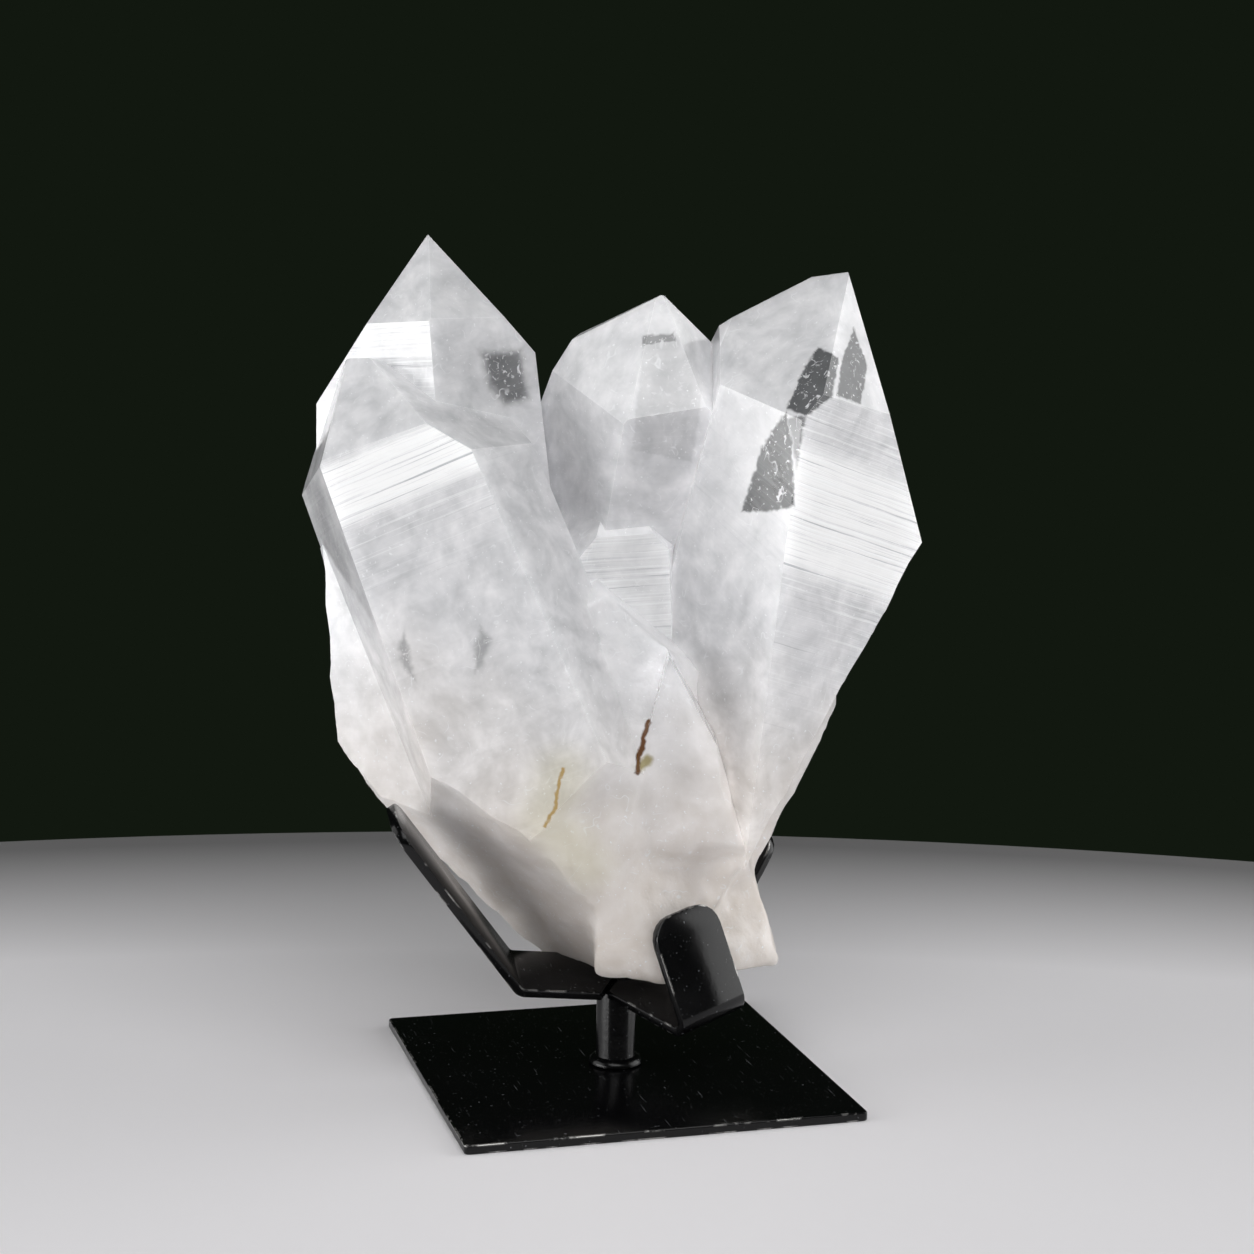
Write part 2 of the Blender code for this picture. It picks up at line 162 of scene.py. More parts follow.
# Each softbox's heading and elevation from the stone's middle, its distance, width and height, and its watts.
# Heading 0 is over the camera and 90 is to its right.
LIT_MIDDLE = (0.0, 0.0, 0.14)
SOFTBOXES = {
    "left softbox": (-84, 14, 1.1, (1.0, 1.1), 5.4),
    "right softbox": (100, 8, 1.1, (1.0, 1.1), 8.8),
    "front softbox": (14, 46, 1.3, (1.5, 1.0), 12.8),
    "low softbox": (-64, 0, 0.9, (0.7, 0.2), 2.2),
}


def linear(code):
    """An sRGB hex colour as linear RGBA."""
    parts = [int(code[place : place + 2], 16) / 255 for place in (1, 3, 5)]
    return (*(part / 12.92 if part <= 0.04045 else ((part + 0.055) / 1.055) ** 2.4 for part in parts), 1.0)


def add(tree, kind, links=None, **settings):
    """A node of this kind with its settings, and with these inputs, by name or by place, linked or set."""
    node = tree.nodes.new(kind)
    for name, value in settings.items():
        setattr(node, name, value)
    shown = [socket for socket in node.inputs if socket.enabled]
    for key, value in (links or {}).items():
        socket = shown[key] if isinstance(key, int) else next(one for one in shown if one.name == key)
        if isinstance(value, bpy.types.Node):
            value = next(one for one in value.outputs if one.enabled)
        if isinstance(value, bpy.types.NodeSocket):
            tree.links.new(value, socket)
        else:
            socket.default_value = value
    return node


def to_row():
    """Turns a point of the stone's frame, in millimetres, to the row's frame."""
    return Matrix.Rotation(math.radians(CLUSTER_TURN), 4, "Z") @ Matrix.Scale(MM, 4)


def crystal_lines():
    """Each crystal's name, heart and axis in the row's frame."""
    lines = []
    for name, (heart, lean_right, lean_front) in CRYSTALS.items():
        right, front = math.radians(lean_right), math.radians(lean_front)
        level = math.cos(front)
        axis = Vector((math.sin(right) * level, -math.sin(front), math.cos(right) * level))
        lines.append((name, to_row() @ Vector(heart), (to_row().to_3x3() @ axis).normalized()))
    return lines


def misfit(face, heart, axis):
    """How badly a flat face fits a crystal, by its angle and by its distance from the axis."""
    pitch = math.degrees(face.normal.angle(axis))
    off = min(abs(pitch - PRISM_PITCH), abs(pitch - TIP_PITCH))
    reach = face.calc_center_median() - heart
    aside = (reach - reach.dot(axis) * axis).length / MM
    return off + MISFIT_PER_MM * aside


def lay_growth_lines(bm):
    """UV maps in metres along and across each face's own crystal, and that tell how far its frost band is,
    which is partly painted highlight.
    """
    uv = bm.loops.layers.uv.new("growth")
    frost_and_highlight = bm.loops.layers.uv.new("frost_and_highlight")
    prism = bm.faces.layers.float.new("prism")
    fronts = bm.faces.layers.float.new("front")
    facing = to_row().to_3x3().normalized() @ Vector((0, -1, 0))
    lines = crystal_lines()
    for face in bm.faces:
        name, heart, axis = min(lines, key=lambda line: misfit(face, line[1], line[2]))
        middle, half, whiteness, fall = FROST_AND_HIGHLIGHT_BANDS[name]
        across = axis.cross(face.normal)
        if across.length < PARALLEL:
            across = axis.orthogonal()
        across.normalize()
        for loop in face.loops:
            reach = loop.vert.co - heart
            along = reach.dot(axis) + fall * reach.dot(across)
            loop[uv].uv = (along, reach.dot(across))
            loop[frost_and_highlight].uv = ((along / MM - middle) / half, whiteness)
        off_prism = abs(math.degrees(face.normal.angle(axis)) - PRISM_PITCH)
        face[prism] = 1.0 if face.material_index == GROWN and off_prism < PRISM_SPREAD else 0.0
        face[fronts] = 1.0 if face.normal.dot(facing) > FRONT_FACE else SIDE_BARS


def shelly(point):
    """The height of a broken surface at this point: shells with sharp crests, and small shells on them."""
    place = point / (SHELL_WIDTH_MM * MM)
    crest = 1 - abs(noise.noise(place)) * SHELL_CREST
    return SHELL_DEPTH_MM * MM * (crest + SMALL_SHELL_SHARE * noise.noise(place * SMALL_SHELLS))


def broken_faces(bm):
    return [face for face in bm.faces if face.material_index == BROKEN]


def divide_breaks(bm):
    """Cuts the broken surfaces into triangles, with their long edges halved a few times."""
    for _ in range(BREAK_CUTS):
        bmesh.ops.triangulate(bm, faces=broken_faces(bm))
        long = [
            edge
            for edge in bm.edges
            if edge.calc_length() > BREAK_FINENESS_MM * MM
            and any(face.material_index == BROKEN for face in edge.link_faces)
        ]
        bmesh.ops.subdivide_edges(bm, edges=long, cuts=1)
    bmesh.ops.triangulate(bm, faces=broken_faces(bm))


def round_breaks(bm):
    """Smooths the broken surfaces within their borders and gives them shelly relief."""
    inner = [
        vert
        for vert in bm.verts
        if vert.link_faces and all(face.material_index == BROKEN for face in vert.link_faces)
    ]
    for _ in range(BREAK_SMOOTHING):
        bmesh.ops.smooth_vert(bm, verts=inner, factor=0.5, use_axis_x=True, use_axis_y=True, use_axis_z=True)
    bm.normal_update()
    moves = [(vert, vert.normal * shelly(vert.co)) for vert in inner]
    for vert, move in moves:
        vert.co += move
    bm.normal_update()
    for face in bm.faces:
        face.smooth = face.material_index == BROKEN
    for edge in bm.edges:
        kinds = {face.material_index for face in edge.link_faces}
        edge.smooth = kinds == {BROKEN} and edge.calc_face_angle(0.0) < math.radians(BREAK_CREASE)


def finished(name, bm, materials):
    mesh = bpy.data.meshes.new(name)
    bm.to_mesh(mesh)
    bm.free()
    for material in materials:
        mesh.materials.append(material)
    piece = bpy.data.objects.new(name, mesh)
    bpy.context.scene.collection.objects.link(piece)
    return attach(piece, "root")


def merged(node):
    """The CAD node's mesh with its loose triangles joined and its flat faces made one face each."""
    bm = bmesh.new()
    bm.from_mesh(node.data)
    bmesh.ops.remove_doubles(bm, verts=bm.verts, dist=WELD_MM * MM)
    bmesh.ops.dissolve_limit(bm, angle_limit=math.radians(FLAT_WITHIN), verts=bm.verts, edges=bm.edges)
    return bm


def soften(bm, wanted, width_mm, segments, mark):
    """Bevels the edges that are wanted, and marks their new faces with 1 in a face attribute of this name."""
    marked = bm.faces.layers.float.new(mark)
    made = bmesh.ops.bevel(
        bm, geom=[edge for edge in bm.edges if edge.is_manifold and wanted(edge)], offset=width_mm * MM,
        segments=segments, profile=0.5, affect="EDGES", material=-1, clamp_overlap=True,
    )
    for face in made["faces"]:
        face[marked] = 1.0
    bmesh.ops.dissolve_degenerate(bm, dist=WELD_MM * MM, edges=bm.edges)


def crystal_edge(edge):
    """Whether this is a crystal's own edge, between two grown faces."""
    grown = all(face.material_index == GROWN for face in edge.link_faces)
    return grown and edge.calc_face_angle() > math.radians(CRYSTAL_EDGE)


def steel_edge(edge):
    return edge.calc_face_angle() > math.radians(STEEL_EDGE)


def make_stone(node, grown, broken):
    """The stone, its crystals' edges white as wear and painted highlight, its broken surfaces rounded and
    shelly.
    """
    bm = merged(node)
    for face in bm.faces:
        large = face.calc_area() > SMALLEST_GROWN_FACE_MM2 * MM * MM
        in_root = face.calc_center_median().z < ROOT_TOP_MM * MM
        face.material_index = GROWN if large and not in_root else BROKEN
    soften(bm, crystal_edge, RUBBED_AND_HIGHLIT_EDGE_MM, 1, "rubbed_and_highlit")
    lay_growth_lines(bm)
    divide_breaks(bm)
    round_breaks(bm)
    stone = finished("quartz_stone", bm, [grown, broken])
    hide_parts("quartz_cluster")


def make_painted_piece(node, steel, rounding_mm):
    """A steel piece of the stand with its edges rounded as the paint leaves them."""
    bm = merged(node)
    soften(bm, steel_edge, rounding_mm, 2, "edge")
    for face in bm.faces:
        face.smooth = True
    for edge in bm.edges:
        edge.smooth = edge.calc_face_angle(0.0) < math.radians(STEEL_CREASE)
    piece = finished(f"painted_{node.name}", bm, [steel])
    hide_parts(node.name)


def new_material(name):
    material = bpy.data.materials.new(name)
    material.use_nodes = True
    tree = material.node_tree
    return material, tree, tree.nodes["Principled BSDF"], add(tree, "ShaderNodeTexCoord").outputs["Object"]


def shaken(tree, place, size_mm, far_mm):
    """The place, moved by noise of this size by up to this far, so that a mark's outline wanders."""
    shake = add(tree, "ShaderNodeTexNoise", {"Vector": place, "Scale": 1 / (size_mm * MM), "Detail": 1.0})
    centred = {0: shake.outputs["Color"], 1: (0.5, 0.5, 0.5)}
    centred = add(tree, "ShaderNodeVectorMath", centred, operation="SUBTRACT")
    scaled = add(tree, "ShaderNodeVectorMath", {0: centred, "Scale": 2 * far_mm * MM}, operation="SCALE")
    return add(tree, "ShaderNodeVectorMath", {0: place, 1: scaled}, operation="ADD")


def inside_outline(tree, place, outline_mm, full, softness_mm):
    """How strong a mark is here: full inside its convex outline on the stone's front, and 0 outside."""
    corners = [Vector((right, 0.0, up)) * MM for right, up in outline_mm]
    middle = sum(corners, Vector()) / len(corners)
    depth = None
    for start, end in zip(corners, corners[1:] + corners[:1]):
        inward = Vector((start.z - end.z, 0.0, end.x - start.x)).normalized()
        inward *= math.copysign(1.0, inward.dot(middle - start))
        reach = add(tree, "ShaderNodeVectorMath", {0: place, 1: inward}, operation="DOT_PRODUCT")
        reach = add(tree, "ShaderNodeMath", {0: reach, 1: inward.dot(start)}, operation="SUBTRACT")
        depth = add(tree, "ShaderNodeMath", {0: depth, 1: reach}, operation="MINIMUM") if depth else reach
    inside = {"Value": depth, "From Min": -softness_mm * MM, "From Max": softness_mm * MM, "To Max": full}
    return add(tree, "ShaderNodeMapRange", inside, interpolation_type="SMOOTHSTEP")


def from_crack(tree, place, points_mm):
    """The distance from a crack's chain of straight stretches, as the stone is seen from its front."""
    flat = add(tree, "ShaderNodeVectorMath", {0: place, 1: (1.0, 0.0, 1.0)}, operation="MULTIPLY")
    corners = [Vector((right, 0.0, up)) * MM for right, up in points_mm]
    nearest = None
    for start, end in zip(corners, corners[1:]):
        along = end - start
        reach = add(tree, "ShaderNodeVectorMath", {0: flat, 1: start}, operation="SUBTRACT")
        share = {0: reach, 1: along / along.length_squared}
        share = add(tree, "ShaderNodeVectorMath", share, operation="DOT_PRODUCT")
        share = add(tree, "ShaderNodeMath", {0: share, 1: 1.0}, operation="MULTIPLY", use_clamp=True)
        back = add(tree, "ShaderNodeVectorMath", {0: along, "Scale": share}, operation="SCALE")
        rest = add(tree, "ShaderNodeVectorMath", {0: reach, 1: back}, operation="SUBTRACT")
        far = add(tree, "ShaderNodeVectorMath", {0: rest}, operation="LENGTH")
        nearest = add(tree, "ShaderNodeMath", {0: nearest, 1: far}, operation="MINIMUM") if nearest else far
    return nearest


def stained(tree, colour, place, front, mark):
    """The colour with this iron stain laid over it on the stone's front, and how strong the stain is here."""
    points_mm, full_mm, end_mm, strength, code = mark
    here = {"Value": from_crack(tree, place, points_mm), "From Min": full_mm * MM, "From Max": end_mm * MM}
    here |= {"To Min": strength, "To Max": 0.0}
    here = add(tree, "ShaderNodeMapRange", here, interpolation_type="SMOOTHSTEP")
    here = add(tree, "ShaderNodeMath", {0: here, 1: front}, operation="MULTIPLY")
    return add(tree, "ShaderNodeMix", {0: here, 1: colour, 2: linear(code)}, data_type="RGBA"), here


def milk(tree, place, height):
    """Milk's colour in clouds and wisps, bluish white above and beige below, and how thick the wisps are."""
    cloud = add(tree, "ShaderNodeTexNoise", {"Vector": place, "Scale": 1 / (45.45 * MM), "Detail": 2.0})
    lean = add(tree, "ShaderNodeMath", {0: cloud, 1: -70 * MM, 2: height}, operation="MULTIPLY_ADD")
    warm = {"Value": lean, "From Min": 20 * MM, "From Max": 120 * MM, "To Min": 1.0, "To Max": 0.0}
    warm = add(tree, "ShaderNodeMapRange", warm, interpolation_type="SMOOTHSTEP")
    thick = {0: warm, 1: linear("#f3f2f4"), 2: linear("#f5efeb")}
    thick = add(tree, "ShaderNodeMix", thick, data_type="RGBA")
    thin = {0: warm, 1: linear("#dcdde0"), 2: linear("#e6dcd2")}
    thin = add(tree, "ShaderNodeMix", thin, data_type="RGBA")
    wisps = {"Vector": shaken(tree, place, 24, 7), "Scale": 1 / (9 * MM), "Detail": 3.5, "Roughness": 0.6}
    wisps = add(tree, "ShaderNodeTexNoise", wisps)
    veiled = add(tree, "ShaderNodeMapRange", {"Value": wisps, "From Min": 0.25, "From Max": 0.75})
    return add(tree, "ShaderNodeMix", {0: veiled, 1: thin, 2: thick}, data_type="RGBA"), wisps, veiled


def healed_cracks(tree, place):
    """1 on flecks a millimetre long and on thin curved cracks, which lie in patches, and 0 off them."""
    flecks = add(tree, "ShaderNodeTexNoise", {"Vector": place, "Scale": 1 / (1.0 * MM), "Detail": 1.0})
    flecks = add(tree, "ShaderNodeMapRange", {"Value": flecks, "From Min": 0.70, "From Max": 0.76})
    curve = add(tree, "ShaderNodeTexNoise", {"Vector": place, "Scale": 1 / (11 * MM), "Detail": 2.0})
    curve = add(tree, "ShaderNodeMath", {0: curve, 1: 0.5}, operation="SUBTRACT")
    curve = add(tree, "ShaderNodeMath", {0: curve}, operation="ABSOLUTE")
    curve = {"Value": curve, "From Min": 0.002, "From Max": 0.009, "To Min": 0.6, "To Max": 0.0}
    curve = add(tree, "ShaderNodeMapRange", curve)
    patch = add(tree, "ShaderNodeTexNoise", {"Vector": place, "Scale": 1 / (6 * MM), "Detail": 2.0})
    patch = add(tree, "ShaderNodeMapRange", {"Value": patch, "From Min": 0.54, "From Max": 0.62})
    curve = add(tree, "ShaderNodeMath", {0: curve, 1: patch}, operation="MULTIPLY")
    return add(tree, "ShaderNodeMath", {0: flecks, 1: curve}, operation="MAXIMUM")


def bright_bits(tree, place):
    """Near 1 on the bright bits that show in clear windows and on fresh chips, and 0 between them."""
    bits = {"Vector": place, "Scale": 1 / (2.6 * MM), "Detail": 2.0, "Roughness": 0.7, "Distortion": 1.2}
    bits = add(tree, "ShaderNodeTexNoise", bits)
    return add(tree, "ShaderNodeMapRange", {"Value": bits, "From Min": 0.60, "From Max": 0.70, "To Max": 0.9})


def clear_windows(tree, ragged, front, specks):
    """How clear the stone is here: as clear as its windows on the front, and 0 off them and on specks."""
    clear = None
    for outline_mm, clearness, softness_mm in WINDOWS:
        one = inside_outline(tree, ragged, outline_mm, clearness, softness_mm)
        clear = add(tree, "ShaderNodeMath", {0: clear, 1: one}, operation="MAXIMUM") if clear else one
    clear = add(tree, "ShaderNodeMath", {0: clear, 1: front}, operation="MULTIPLY")
    unspecked = add(tree, "ShaderNodeMath", {0: 1.0, 1: specks}, operation="SUBTRACT")
    return add(tree, "ShaderNodeMath", {0: clear, 1: unspecked}, operation="MULTIPLY")


def growth_bars(tree, place, clear):
    """Long fine bars across each prism, how strongly they show here, and how strong the frost band is, partly
    painted highlight.

    They are finer than a millimetre in the stone, and drawn as wide as they need to be to show.
    """
    growth = add(tree, "ShaderNodeUVMap", uv_map="growth")
    wander = add(tree, "ShaderNodeTexNoise", {"Vector": place, "Scale": 1 / (14.3 * MM), "Detail": 1.0})
    wander = add(tree, "ShaderNodeMath", {0: wander, 1: BAR_WANDER_MM * MM}, operation="MULTIPLY")
    wander = add(tree, "ShaderNodeCombineXYZ", {"X": wander})
    growth = add(tree, "ShaderNodeVectorMath", {0: growth, 1: wander}, operation="ADD")
    long = {"Vector": growth, "Scale": (1 / (BAR_WIDTH_MM * MM), 1 / (BAR_LENGTH_MM * MM), 1.0)}
    long = add(tree, "ShaderNodeMapping", long)
    bars = {"Vector": long, "Scale": 1.0, "Detail": 3.0, "Roughness": 0.75}
    bars = add(tree, "ShaderNodeTexNoise", bars, noise_dimensions="2D")

    prism = add(tree, "ShaderNodeAttribute", attribute_name="prism").outputs["Fac"]
    facing = add(tree, "ShaderNodeAttribute", attribute_name="front").outputs["Fac"]
    shown = add(tree, "ShaderNodeMath", {0: prism, 1: facing}, operation="MULTIPLY")
    band = add(tree, "ShaderNodeSeparateXYZ", {0: add(tree, "ShaderNodeUVMap", uv_map="frost_and_highlight")})
    off_band = add(tree, "ShaderNodeMath", {0: band.outputs["X"]}, operation="ABSOLUTE")
    off_band = add(tree, "ShaderNodeMath", {0: bars, 1: 0.9, 2: off_band}, operation="MULTIPLY_ADD")
    frost_and_highlight = {"Value": off_band, "From Min": 1.2, "From Max": 1.6, "To Min": 1.0, "To Max": 0.0}
    frost_and_highlight = add(tree, "ShaderNodeMapRange", frost_and_highlight, interpolation_type="SMOOTHSTEP")
    faint = {"Value": off_band, "From Min": 1.5, "From Max": 4.0, "To Min": 1.0, "To Max": 0.08}
    faint = add(tree, "ShaderNodeMapRange", faint)
    barred = add(tree, "ShaderNodeMath", {0: faint, 1: frost_and_highlight}, operation="MAXIMUM")
    barred = add(tree, "ShaderNodeMath", {0: barred, 1: shown}, operation="MULTIPLY")
    unclear = add(tree, "ShaderNodeMath", {0: 1.0, 1: clear}, operation="SUBTRACT")
    for share in (shown, unclear, band.outputs["Y"]):
        frost_and_highlight = add(tree, "ShaderNodeMath", {0: frost_and_highlight, 1: share}, operation="MULTIPLY")
    return bars, barred, frost_and_highlight


def barred_colour(tree, colour, bars, barred, frost_and_highlight):
    """The colour with white bars in the frost band, partly painted highlight, and dark bars and white
    hairlines elsewhere.
    """
    for share, (start, full, strength, code) in ((frost_and_highlight, FROST_AND_HIGHLIGHT_BAR), (barred, DARK_BAR), (barred, HAIRLINE)):
        bar = {"Value": bars, "From Min": start, "From Max": full, "To Max": strength}
        bar = add(tree, "ShaderNodeMapRange", bar)
        bar = add(tree, "ShaderNodeMath", {0: bar, 1: share}, operation="MULTIPLY")
        colour = add(tree, "ShaderNodeMix", {0: bar, 1: colour, 2: linear(code)}, data_type="RGBA")
    return colour


def quartz(name, grown):
    """Lemurian quartz, as grown, glassy and barred across its prism faces, or as broken, satin and shelly.

    Milky veils scatter the light inside it, clear windows near the tips are darkened as painted shade, and
    iron stains its cracks.
    """
    material, tree, shader, row_place = new_material(name)
    finish = GROWN_FINISH if grown else BROKEN_FINISH
    turn_back = (0, 0, math.radians(-CLUSTER_TURN))
    place = add(tree, "ShaderNodeMapping", {"Vector": row_place, "Rotation": turn_back})
    ragged = shaken(tree, place, 2.2, 0.8)
    parts = add(tree, "ShaderNodeSeparateXYZ", {0: place})
    front_starts, front_ends = (depth * MM for depth in FRONT_ENDS_MM)
    front = {"Value": parts.outputs["Y"], "From Min": front_starts, "From Max": front_ends}
    front = add(tree, "ShaderNodeMapRange", front | {"To Min": 1.0, "To Max": 0.0})

    colour, wisps, veiled = milk(tree, place, parts.outputs["Z"])
    flecks = healed_cracks(tree, place)
    colour = add(tree, "ShaderNodeMix", {0: flecks, 1: colour, 2: linear("#fcfdff")}, data_type="RGBA")
    bits = bright_bits(tree, place)
    specks = add(tree, "ShaderNodeMath", {0: flecks, 1: bits}, operation="MAXIMUM")
    clear = clear_windows(tree, ragged, front, specks)
    # Painted shade: where the stone is clear, its colour is made dark for the dark backdrop seen through it.
    depths = {0: veiled, 1: linear("#2a2d2f"), 2: linear("#64686a")}
    depths = add(tree, "ShaderNodeMix", depths, data_type="RGBA")
    colour = add(tree, "ShaderNodeMix", {0: clear, 1: colour, 2: depths}, data_type="RGBA")
    for outline_mm, whiteness, softness_mm in FRESH_CHIPS:
        chip = inside_outline(tree, ragged, outline_mm, whiteness, softness_mm)
        chip = add(tree, "ShaderNodeMath", {0: chip, 1: bits}, operation="MULTIPLY")
        colour = add(tree, "ShaderNodeMix", {0: chip, 1: colour, 2: linear("#ffffff")}, data_type="RGBA")

    # Thick wisps let less light through, clear windows more, and iron marks none, nor the frost band and
    # white rubbed edges, which are partly painted highlight.
    see_through = {"Value": wisps, "From Min": 0.2, "From Max": 0.8, "To Min": 0.30, "To Max": 0.08}
    see_through = add(tree, "ShaderNodeMapRange", see_through)
    colour, _ = stained(tree, colour, place, front, STAIN_HAZE)
    marks = []
    for iron_mark in IRON_MARKS:
        colour, mark = stained(tree, colour, ragged, front, iron_mark)
        marks.append(mark)
    if grown:
        # The frost band's white is partly painted highlight, where the softbox reflects off the prism faces.
        bars, barred, frost_and_highlight = growth_bars(tree, place, clear)
        colour = barred_colour(tree, colour, bars, barred, frost_and_highlight)
        rubbed_and_highlit = add(tree, "ShaderNodeAttribute", attribute_name="rubbed_and_highlit").outputs["Fac"]
        # Rubbed edges painted white: partly wear, partly painted highlight along the crystals' edges.
        colour = add(tree, "ShaderNodeMix", {0: rubbed_and_highlit, 1: colour, 2: linear("#ffffff")}, data_type="RGBA")
        held = add(tree, "ShaderNodeMath", {0: frost_and_highlight, 1: rubbed_and_highlit}, operation="MAXIMUM")
        open_share = add(tree, "ShaderNodeMath", {0: 1.0, 1: held}, operation="SUBTRACT")
        see_through = add(tree, "ShaderNodeMath", {0: see_through, 1: open_share}, operation="MULTIPLY")
        relief = add(tree, "ShaderNodeMath", {0: bars, 1: barred}, operation="MULTIPLY")
        ripple = add(tree, "ShaderNodeTexNoise", {"Vector": place, "Scale": 1 / (11.1 * MM), "Detail": 2.0})
        relief = add(tree, "ShaderNodeMath", {0: ripple, 1: 0.25, 2: relief}, operation="MULTIPLY_ADD")
    else:
        shells = {"Vector": shaken(tree, place, 12, 4), "Scale": 1 / (8.33 * MM), "Detail": 3.0}
        shells = add(tree, "ShaderNodeTexNoise", shells)
        grain = add(tree, "ShaderNodeTexNoise", {"Vector": place, "Scale": 1 / (1.11 * MM), "Detail": 2.0})
        relief = add(tree, "ShaderNodeMath", {0: grain, 1: 0.15, 2: shells}, operation="MULTIPLY_ADD")
    windowed = add(tree, "ShaderNodeMath", {0: clear, 1: WINDOW_DEPTH}, operation="MULTIPLY")
    see_through = add(tree, "ShaderNodeMath", {0: see_through, 1: windowed}, operation="MAXIMUM")
    for mark in marks:
        unmarked = add(tree, "ShaderNodeMath", {0: 1.0, 1: mark}, operation="SUBTRACT")
        see_through = add(tree, "ShaderNodeMath", {0: see_through, 1: unmarked}, operation="MULTIPLY")

    unwindowed = add(tree, "ShaderNodeMath", {0: 1.0, 1: windowed}, operation="SUBTRACT")
    rough = add(tree, "ShaderNodeMath", {0: finish["rough"], 1: unwindowed}, operation="MULTIPLY")
    coat = add(tree, "ShaderNodeMath", {0: finish["coat"], 1: unwindowed}, operation="MULTIPLY")
    height = {"Height": relief, "Distance": finish["relief"] * MM, "Strength": RELIEF_STRENGTH}
    bump = add(tree, "ShaderNodeBump", height)
    for socket, value in {
        "Base Color": colour.outputs[2], "Transmission Weight": see_through.outputs[0],
        "Roughness": rough.outputs[0], "Normal": bump.outputs[0], "Coat Normal": bump.outputs[0],
        "Coat Weight": coat.outputs[0],
    }.items():
        tree.links.new(value, shader.inputs[socket])
    shader.subsurface_method = "BURLEY"
    for socket, value in {
        "IOR": QUARTZ_IOR, "Coat Roughness": finish["coat rough"], "Coat IOR": QUARTZ_IOR,
        "Subsurface Weight": 1.0, "Subsurface Radius": (1.0, 1.0, 1.0),
        "Subsurface Scale": finish["milk"] * MM,
    }.items():
        shader.inputs[socket].default_value = value
    return material


def painted_steel():
    """Black enamel sprayed on mild steel: semi-gloss, dusty, finely scratched, worn bright on a few edges.

    Dust and scratches are finer in truth, and drawn about a millimetre wide so that they show.
    """
    material, tree, shader, place = new_material("black enamel sprayed on mild steel")
    dust = add(tree, "ShaderNodeTexNoise", {"Vector": place, "Scale": 1 / (0.909 * MM), "Detail": 0.0})
    dust = add(tree, "ShaderNodeMapRange", {"Value": dust, "From Min": 0.80, "From Max": 0.86, "To Max": 0.5})
    long = add(tree, "ShaderNodeMapping", {"Vector": place, "Rotation": (0, 0, 0.6), "Scale": (1, 0.04, 1)})
    scratch = add(tree, "ShaderNodeTexNoise", {"Vector": long, "Scale": 1 / (0.714 * MM), "Detail": 1.0})
    scratch = {"Value": scratch, "From Min": 0.74, "From Max": 0.80, "To Max": 0.35}
    scratch = add(tree, "ShaderNodeMapRange", scratch)
    marks = add(tree, "ShaderNodeMath", {0: dust, 1: scratch}, operation="MAXIMUM")
    colour = {0: marks, 1: linear("#070708"), 2: linear("#8a8c90")}
    colour = add(tree, "ShaderNodeMix", colour, data_type="RGBA")

    edge = add(tree, "ShaderNodeAttribute", attribute_name="edge").outputs["Fac"]
    wear = add(tree, "ShaderNodeTexNoise", {"Vector": place, "Scale": 1 / (7.69 * MM), "Detail": 4.0})
    wear = add(tree, "ShaderNodeMapRange", {"Value": wear, "From Min": 0.52, "From Max": 0.60})
    worn = add(tree, "ShaderNodeMath", {0: edge, 1: wear}, operation="MULTIPLY")
    colour = add(tree, "ShaderNodeMix", {0: worn, 1: colour, 2: linear("#9b9a98")}, data_type="RGBA")

    rough = add(tree, "ShaderNodeTexNoise", {"Vector": place, "Scale": 1 / (22.2 * MM), "Detail": 4.0})
    rough = {"Value": rough, "From Min": 0.35, "From Max": 0.7, "To Min": 0.16, "To Max": 0.28}
    rough = add(tree, "ShaderNodeMapRange", rough)
    peel = add(tree, "ShaderNodeTexNoise", {"Vector": place, "Scale": 1 / (1.613 * MM), "Detail": 2.0})
    bump = add(tree, "ShaderNodeBump", {"Height": peel, "Distance": 0.05 * MM, "Strength": RELIEF_STRENGTH})
    for socket, value in {
        "Base Color": colour.outputs[2], "Metallic": worn.outputs[0], "Roughness": rough.outputs[0],
        "Normal": bump.outputs[0],
    }.items():
        tree.links.new(value, shader.inputs[socket])
    shader.inputs["Specular IOR Level"].default_value = 0.3
    return material


def table_paint_and_shade():
    """A table top sprayed matt pale grey, with painted shade that darkens it towards its far rim, where the
    light falls off.
    """
    material, tree, shader, place = new_material("matt pale grey table paint and painted shade")
    under_camera = (CAMERA_PLACE[0], CAMERA_PLACE[1], 0.0)
    # Painted shade: the colour darkens with distance from under the camera, in place of the light's falloff.
    far = add(tree, "ShaderNodeVectorMath", {0: place, 1: under_camera}, operation="DISTANCE")
    starts, ends = TABLE_PAINTED_SHADE
    far = add(tree, "ShaderNodeMapRange", {"Value": far, "From Min": starts, "From Max": ends})
    colour = {0: far, 1: linear("#f4f2f5"), 2: linear("#807f80")}
    colour = add(tree, "ShaderNodeMix", colour, data_type="RGBA")
    tree.links.new(colour.outputs[2], shader.inputs["Base Color"])
    shader.inputs["Roughness"].default_value = 0.55
    return material


def make_table():
    bm = bmesh.new()
    bmesh.ops.create_cone(
        bm, cap_ends=True, segments=256, radius1=TABLE_RADIUS, radius2=TABLE_RADIUS, depth=TABLE_THICKNESS
    )
    bmesh.ops.translate(bm, vec=(*TABLE_CENTRE, -TABLE_THICKNESS / 2), verts=bm.verts)
    mesh = bpy.data.meshes.new("table")
    bm.to_mesh(mesh)
    bm.free()
    mesh.materials.append(table_paint_and_shade())
    table = bpy.data.objects.new("table", mesh)
    bpy.context.scene.collection.objects.link(table)


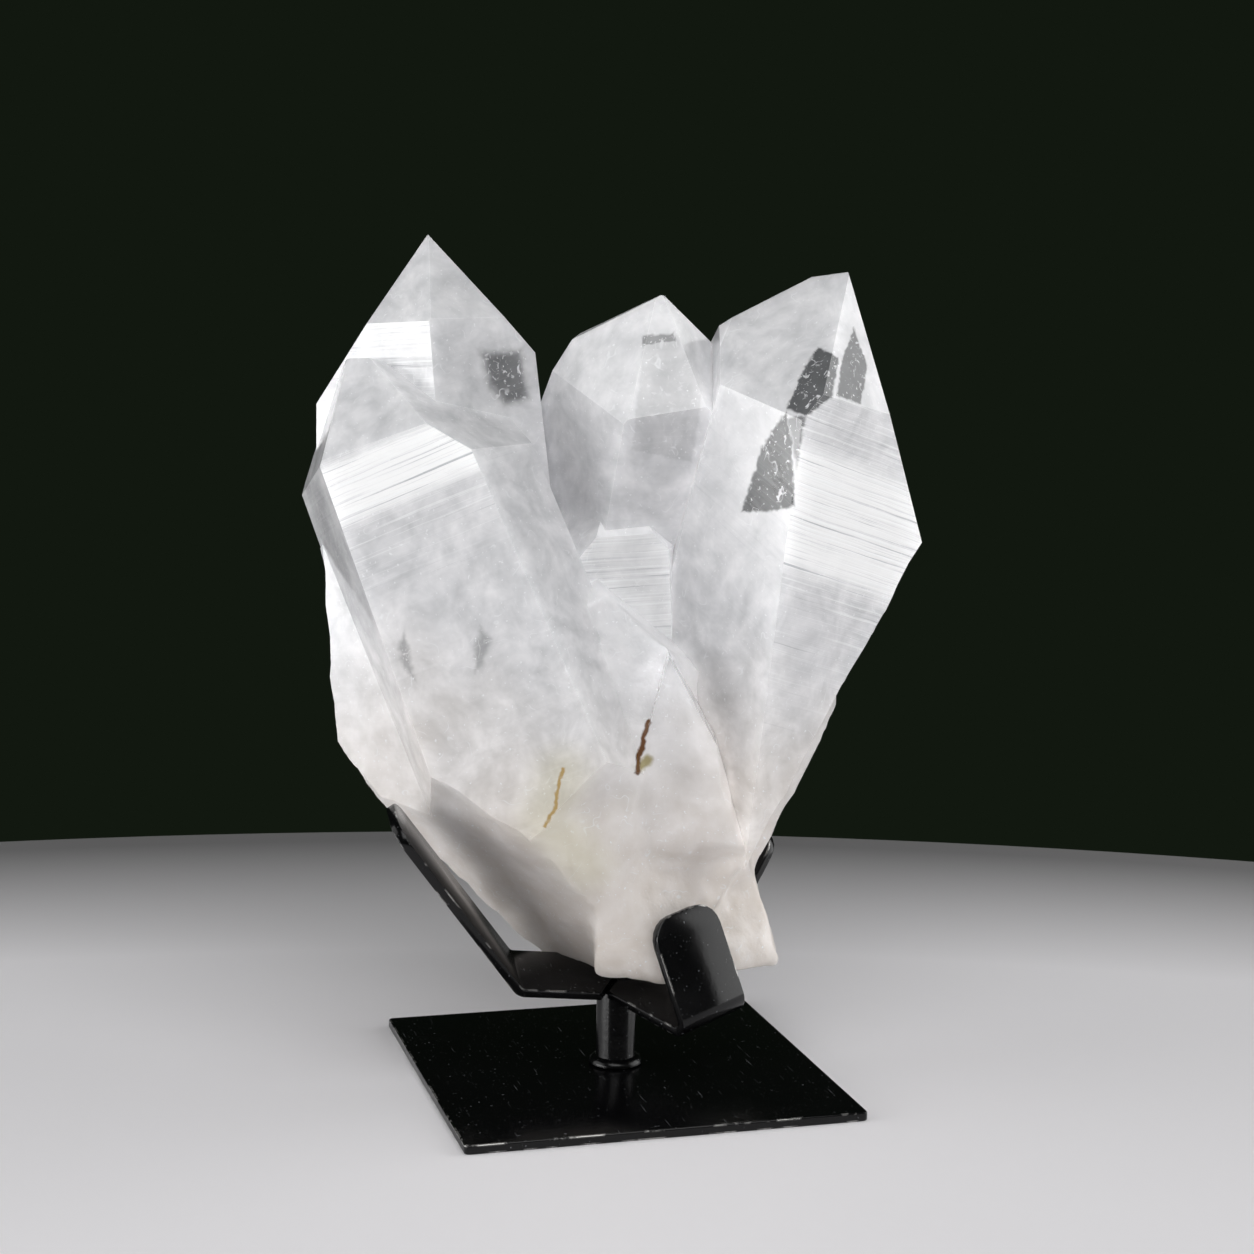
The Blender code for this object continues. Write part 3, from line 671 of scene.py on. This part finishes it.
def add_softbox(name, heading, elevation, distance, size, power):
    """A white rectangular light aimed at the stone's middle."""
    light = bpy.data.lights.new(name, "AREA")
    light.shape = "RECTANGLE"
    light.size, light.size_y = size
    light.energy = power
    lamp = bpy.data.objects.new(name, light)
    around = math.atan2(CAMERA_PLACE[1], CAMERA_PLACE[0]) + math.radians(heading)
    level = math.cos(math.radians(elevation))
    toward = Vector((math.cos(around) * level, math.sin(around) * level, math.sin(math.radians(elevation))))
    lamp.location = Vector(LIT_MIDDLE) + toward * distance
    lamp.rotation_euler = toward.to_track_quat("Z", "Y").to_euler()
    bpy.context.scene.collection.objects.link(lamp)


def light_studio():
    world = bpy.data.worlds.new("dark studio")
    world.use_nodes = True
    world.node_tree.nodes["Background"].inputs["Color"].default_value = linear("#121810")
    bpy.context.scene.world = world
    for name, box in SOFTBOXES.items():
        add_softbox(name, *box)
    bpy.context.scene.view_settings.view_transform = "Standard"


def place_camera():
    camera = bpy.data.cameras.new("camera")
    camera.sensor_width = SENSOR_MM
    camera.lens = PHOTO_FOCAL_PIXELS / PHOTO_PIXELS * SENSOR_MM
    camera.clip_start = 0.01
    holder = bpy.data.objects.new("camera", camera)
    turn = (
        Matrix.Rotation(math.radians(CAMERA_AZIMUTH), 4, "Z")
        @ Matrix.Rotation(math.radians(90 - CAMERA_ELEVATION), 4, "X")
        @ Matrix.Rotation(math.radians(CAMERA_ROLL), 4, "Z")
    )
    holder.matrix_world = Matrix.Translation(CAMERA_PLACE) @ turn
    bpy.context.scene.collection.objects.link(holder)
    bpy.context.scene.camera = holder


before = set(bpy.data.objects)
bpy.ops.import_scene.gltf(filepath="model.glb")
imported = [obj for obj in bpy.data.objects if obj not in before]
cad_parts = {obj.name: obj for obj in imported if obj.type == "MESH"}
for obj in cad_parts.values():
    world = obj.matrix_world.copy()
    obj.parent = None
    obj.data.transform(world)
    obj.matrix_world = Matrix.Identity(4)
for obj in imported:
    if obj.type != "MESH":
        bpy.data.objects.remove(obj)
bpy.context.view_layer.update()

make_stone(
    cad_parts["quartz_cluster"],
    quartz("lemurian quartz as grown", grown=True),
    quartz("lemurian quartz as broken", grown=False),
)
enamel = painted_steel()
for node_name, rounding_mm in ROUNDING_MM.items():
    make_painted_piece(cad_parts[node_name], enamel, rounding_mm)
make_table()
light_studio()
place_camera()
